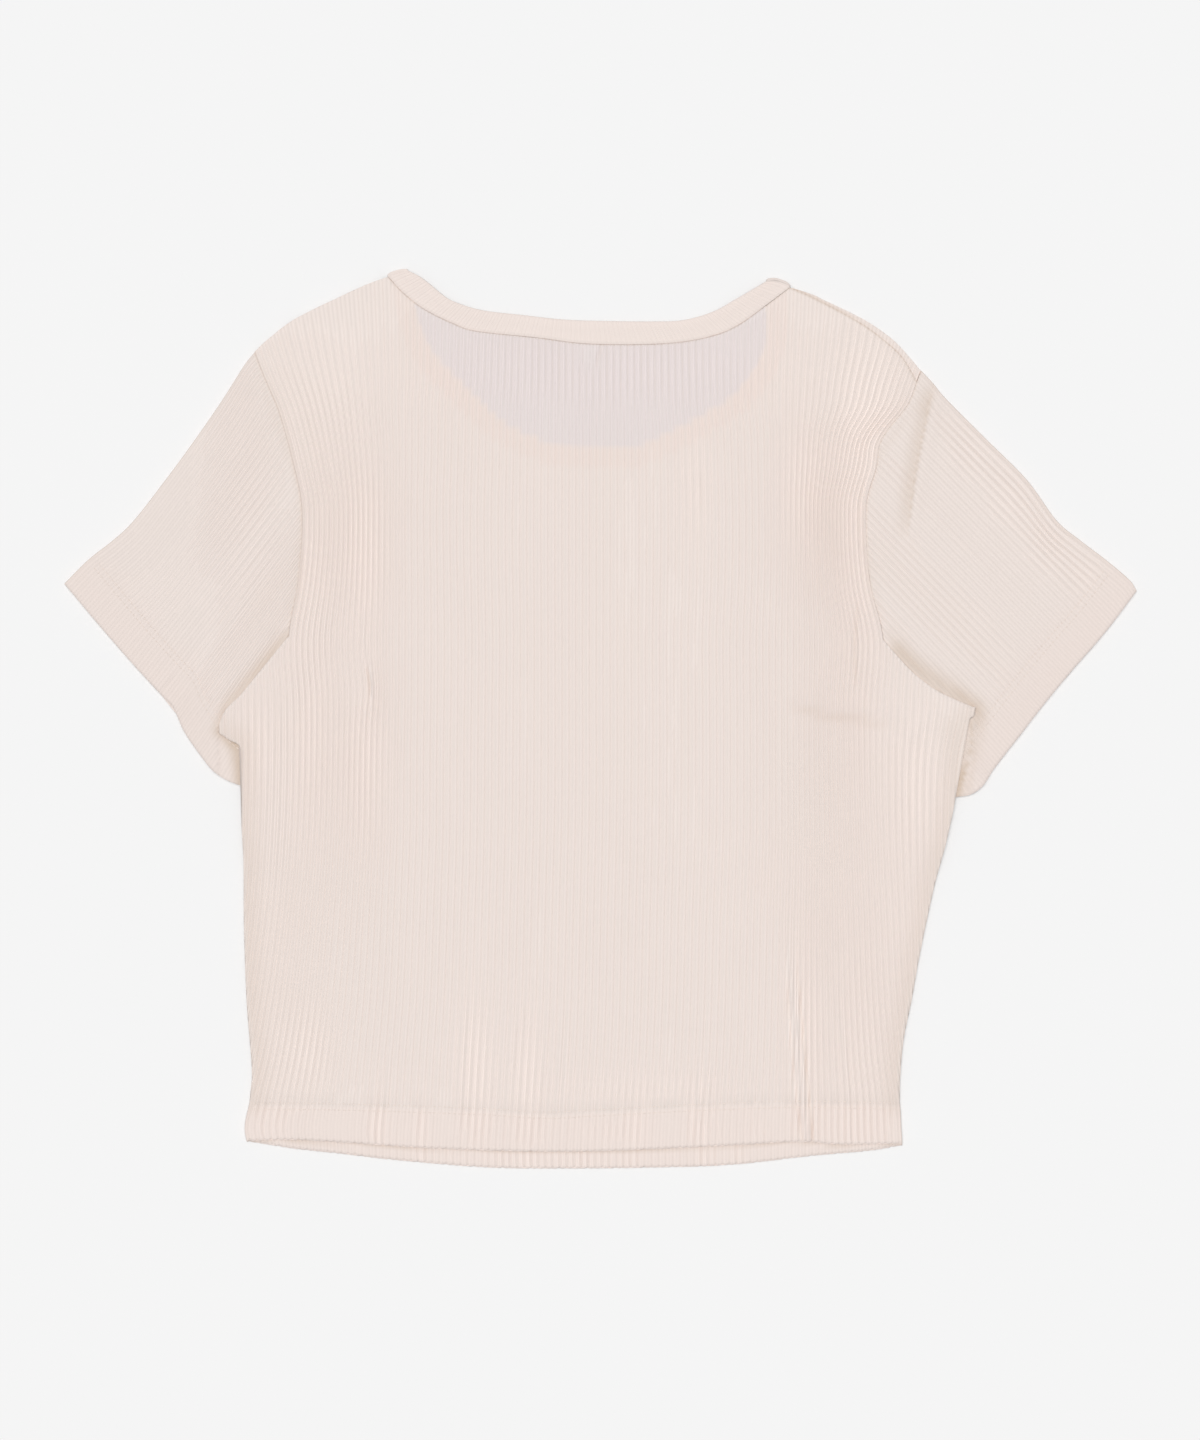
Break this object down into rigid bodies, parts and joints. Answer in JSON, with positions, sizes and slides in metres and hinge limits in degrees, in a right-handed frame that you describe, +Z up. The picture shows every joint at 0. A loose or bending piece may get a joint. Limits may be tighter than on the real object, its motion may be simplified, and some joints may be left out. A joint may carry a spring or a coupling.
{
  "type": "short sleeve t-shirt laid flat",
  "caption": "Cropped short sleeve T-shirt of fine ribbed jersey with a bound round neck and turned-up hems, laid flat on a surface with its back up.",
  "frame": {"origin": "on the surface that the shirt lies on, under the middle of its outline", "axes": "seen from above, +X is to the right, towards the wearer's right sleeve, +Y runs from the hem to the neck, and +Z is up from the surface"},
  "size_m": [0.6, 0.503, 0.0057],
  "materials": {
    "jersey_back": "matte fine ribbed jersey, off-white",
    "jersey_front": "matte fine ribbed jersey, off-white",
    "jersey_sleeve_left": "matte fine ribbed jersey, off-white",
    "jersey_sleeve_right": "matte fine ribbed jersey, off-white",
    "jersey_neck_binding": "matte ribbed jersey strip, off-white"
  },
  "bodies": {
    "root": {"back": "jersey_back", "front": "jersey_front", "sleeve_left": "jersey_sleeve_left", "sleeve_right": "jersey_sleeve_right", "neck_binding": "jersey_neck_binding"}
  },
  "joints": []
}
